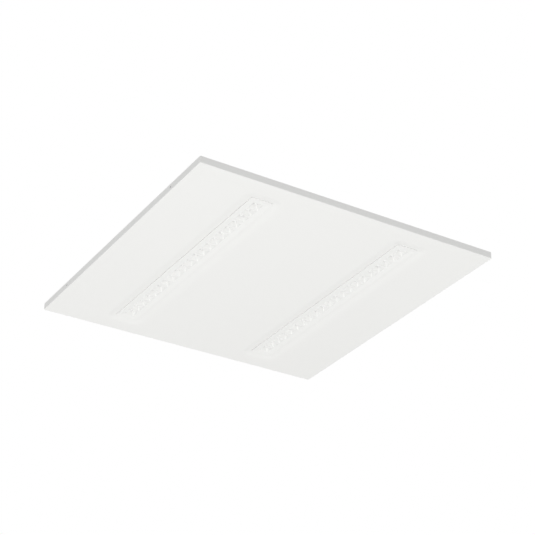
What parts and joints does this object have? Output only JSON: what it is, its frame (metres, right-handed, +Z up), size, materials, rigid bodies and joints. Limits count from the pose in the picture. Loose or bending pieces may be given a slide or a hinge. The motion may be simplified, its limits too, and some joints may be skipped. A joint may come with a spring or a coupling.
{
  "type": "recessed troffer light",
  "caption": "Square white recessed ceiling light with a low-rimmed steel face, long parallel louvre strips of small square cells, and a hinged-lid gear box behind.",
  "frame": {"origin": "middle of the visible face, which looks down", "axes": "+Z up into the ceiling void, +X across the two louvre strips, +Y along them, away from the cable inlet"},
  "size_m": [0.595, 0.595, 0.0497],
  "materials": {
    "face_paint": "fine satin powder coat, warm white",
    "housing_paint": "satin powder coat, white",
    "louvre_plastic": "moulded white plastic, satin gloss",
    "clear_acrylic": "clear moulded acrylic",
    "board_mask": "white solder mask on an aluminium core",
    "diode_phosphor": "yellow phosphor under clear resin",
    "connector_plastic": "natural white nylon",
    "screw_steel": "bright zinc plate",
    "thumbscrew_steel": "knurled, bright zinc plate",
    "galvanised_steel": "galvanised sheet with fine spangle",
    "driver_shell": "moulded driver case, off-white",
    "terminal_plastic": "grey moulded nylon",
    "lever_plastic": "white moulded nylon",
    "brown_insulation": "brown PVC",
    "blue_insulation": "blue PVC",
    "green_insulation": "green and yellow PVC",
    "brass": "turned brass",
    "lead_jacket": "white PVC jacket",
    "black_rubber": "moulded rubber",
    "clamp_plastic": "dark moulded nylon"
  },
  "bodies": {
    "light": {"face_panel": "face_paint", "optic_housing_left": "housing_paint", "optic_housing_right": "housing_paint", "gear_tray": "housing_paint", "louvre_left": "louvre_plastic", "louvre_right": "louvre_plastic", "lens_bar_left": "clear_acrylic", "lens_bar_right": "clear_acrylic", "led_board_left_front": "board_mask", "led_board_left_middle": "board_mask", "led_board_left_rear": "board_mask", "led_board_right_front": "board_mask", "led_board_right_middle": "board_mask", "led_board_right_rear": "board_mask", "diodes_left": "diode_phosphor", "diodes_right": "diode_phosphor", "board_links": "connector_plastic", "lead_plug_left": "connector_plastic", "lead_plug_right": "connector_plastic", "driver_input_terminal": "connector_plastic", "driver_output_terminal": "connector_plastic", "board_screws": "screw_steel", "driver_screws": "screw_steel", "clamp_screws": "screw_steel", "cover_hinge_pins": "screw_steel", "clip_pins": "screw_steel", "lever_pin": "screw_steel", "bracket_rivets": "screw_steel", "earth_screw": "screw_steel", "cross_stiffener_front": "galvanised_steel", "cross_stiffener_rear": "galvanised_steel", "suspension_brackets": "galvanised_steel", "clip_brackets": "galvanised_steel", "driver_case": "driver_shell", "terminal_block": "terminal_plastic", "wire_live": "brown_insulation", "wire_neutral": "blue_insulation", "wire_earth": "green_insulation", "earth_post": "brass", "output_lead_left": "lead_jacket", "output_lead_right": "lead_jacket", "lead_grommets": "black_rubber", "inlet_grommet": "black_rubber", "cable_clamp_base": "clamp_plastic", "cable_clamp_bar": "clamp_plastic"},
    "cover": {"gear_cover": "housing_paint"},
    "thumbscrew_front": {"cover_thumbscrew_front": "thumbscrew_steel"},
    "thumbscrew_rear": {"cover_thumbscrew_rear": "thumbscrew_steel"},
    "lever_live": {"terminal_lever_live": "lever_plastic"},
    "lever_neutral": {"terminal_lever_neutral": "lever_plastic"},
    "lever_earth": {"terminal_lever_earth": "lever_plastic"},
    "clip_front_left": {"grid_clip_front_left": "galvanised_steel"},
    "clip_front_right": {"grid_clip_front_right": "galvanised_steel"},
    "clip_rear_left": {"grid_clip_rear_left": "galvanised_steel"},
    "clip_rear_right": {"grid_clip_rear_right": "galvanised_steel"}
  },
  "joints": [
    {"name": "cover_hinge", "type": "hinge", "parent": "light", "child": "cover", "pos_m": [-0.0581, 0, 0.0408], "axis": [0, -1, 0], "range_deg": [0, 110]},
    {"name": "thumbscrew_front_turn", "type": "hinge", "parent": "cover", "child": "thumbscrew_front", "pos_m": [0.0475, -0.12, 0.0412], "axis": [0, 0, 1], "range_deg": [0, 720]},
    {"name": "thumbscrew_rear_turn", "type": "hinge", "parent": "cover", "child": "thumbscrew_rear", "pos_m": [0.0475, 0.12, 0.0412], "axis": [0, 0, 1], "range_deg": [0, 720]},
    {"name": "lever_live_lift", "type": "hinge", "parent": "light", "child": "lever_live", "pos_m": [-0.007, -0.08, 0.0146], "axis": [-1, 0, 0], "range_deg": [0, 90]},
    {"name": "lever_neutral_lift", "type": "hinge", "parent": "light", "child": "lever_neutral", "pos_m": [0, -0.08, 0.0146], "axis": [-1, 0, 0], "range_deg": [0, 90]},
    {"name": "lever_earth_lift", "type": "hinge", "parent": "light", "child": "lever_earth", "pos_m": [0.007, -0.08, 0.0146], "axis": [-1, 0, 0], "range_deg": [0, 90]},
    {"name": "clip_front_left_fold", "type": "hinge", "parent": "light", "child": "clip_front_left", "pos_m": [-0.2925, -0.198, 0.012], "axis": [0, -1, 0], "range_deg": [0, 90]},
    {"name": "clip_front_right_fold", "type": "hinge", "parent": "light", "child": "clip_front_right", "pos_m": [0.2925, -0.198, 0.012], "axis": [0, 1, 0], "range_deg": [0, 90]},
    {"name": "clip_rear_left_fold", "type": "hinge", "parent": "light", "child": "clip_rear_left", "pos_m": [-0.2925, 0.198, 0.012], "axis": [0, -1, 0], "range_deg": [0, 90]},
    {"name": "clip_rear_right_fold", "type": "hinge", "parent": "light", "child": "clip_rear_right", "pos_m": [0.2925, 0.198, 0.012], "axis": [0, 1, 0], "range_deg": [0, 90]}
  ]
}
